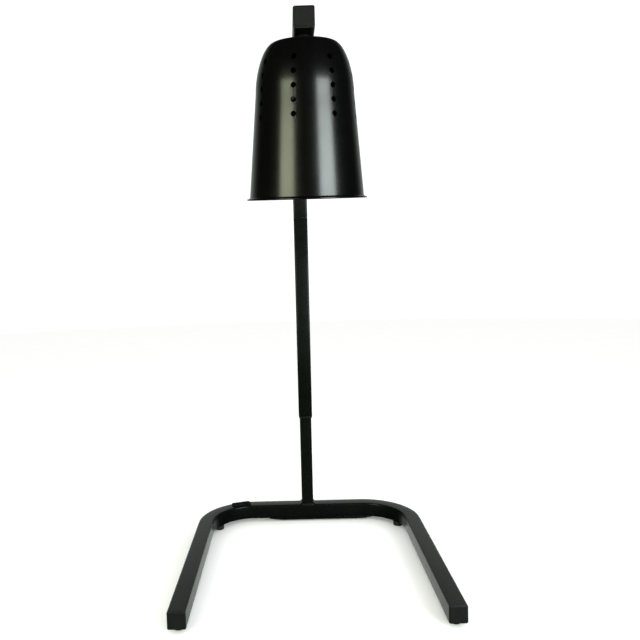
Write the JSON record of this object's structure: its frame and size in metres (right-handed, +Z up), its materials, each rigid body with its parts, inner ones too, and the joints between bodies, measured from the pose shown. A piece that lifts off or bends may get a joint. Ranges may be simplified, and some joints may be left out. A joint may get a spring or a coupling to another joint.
{
  "type": "heat lamp warmer",
  "caption": "Free-standing infrared food warmer: bent square-tube base, telescoping column with a bent arm, and a tall perforated bell shade over a reflector bulb.",
  "frame": {"origin": "centre of the bounding box on the plane that the feet stand on", "axes": "+Z up along the column, -Y towards the open front of the base and the lamp, +X to the right seen from the front"},
  "size_m": [0.4924, 0.6344, 0.963],
  "materials": {
    "powder_coat_black": "satin",
    "gloss_paint_black": "gloss",
    "plastic_black": "satin",
    "rubber_black": "matte",
    "zinc_steel": "zinc plated",
    "brass": "satin",
    "porcelain": "dark brown glaze",
    "lamp_glass": "frosted face, silvered neck"
  },
  "bodies": {
    "base": {"base_frame": "powder_coat_black", "leg_cap_left": "plastic_black", "leg_cap_right": "plastic_black", "foot_rear_left": "rubber_black", "foot_rear_right": "rubber_black", "foot_front_left": "rubber_black", "foot_front_right": "rubber_black", "foot_screw_rear_left": "zinc_steel", "foot_screw_rear_right": "zinc_steel", "foot_screw_front_left": "zinc_steel", "foot_screw_front_right": "zinc_steel", "wiring_cover": "powder_coat_black", "cover_screw_left": "zinc_steel", "cover_screw_right": "zinc_steel", "power_switch_bezel": "plastic_black", "cord_gland": "rubber_black", "lower_post": "powder_coat_black", "post_weld_bead": "powder_coat_black", "post_guide_bush": "plastic_black", "supply_lead_lower": "rubber_black", "switch_lead": "rubber_black"},
    "power_rocker": {"power_switch_rocker": "plastic_black"},
    "column": {"column_sleeve": "powder_coat_black", "sleeve_guide_bush": "plastic_black", "clamp_weld_nut": "powder_coat_black", "arm_tube": "powder_coat_black", "arm_end_cap": "plastic_black", "arm_spigot": "zinc_steel", "spigot_screw_lower": "zinc_steel", "spigot_screw_upper": "zinc_steel", "shade": "gloss_paint_black", "hanger_nipple": "zinc_steel", "hanger_wedge_lower": "powder_coat_black", "hanger_wedge_upper": "zinc_steel", "hanger_nut_upper": "zinc_steel", "hanger_nut_lower": "zinc_steel", "lamp_holder_cap": "powder_coat_black", "lamp_holder": "porcelain", "holder_screw_shell": "brass", "holder_contact": "brass", "bulb_screw_base": "brass", "bulb_glass": "lamp_glass", "supply_lead_upper": "rubber_black", "holder_lead": "rubber_black"},
    "clamp_slide": {"clamp_washer": "zinc_steel"},
    "clamp_knob": {"clamp_knob": "plastic_black", "clamp_stud": "zinc_steel"}
  },
  "joints": [
    {"name": "height_slide", "type": "slide", "parent": "base", "child": "column", "axis": [0, 0, 1], "range_m": [-0.19, 0.11]},
    {"name": "clamp_travel", "type": "slide", "parent": "column", "child": "clamp_slide", "axis": [0, 1, 0], "range_m": [0, 0.0025]},
    {"name": "clamp_turn", "type": "hinge", "parent": "clamp_slide", "child": "clamp_knob", "pos_m": [0, 0.30717, 0.2795], "axis": [0, 1, 0], "range_deg": [0, 740]},
    {"name": "power_rocker_tilt", "type": "hinge", "parent": "base", "child": "power_rocker", "pos_m": [-0.158, 0.26201, 0.0399], "axis": [-0.3095, 0.9509, 0], "range_deg": [0, 16]}
  ],
  "couplings": [
    {"joint": "clamp_turn", "follows": "clamp_travel", "rad_per_m": 5026.5}
  ]
}
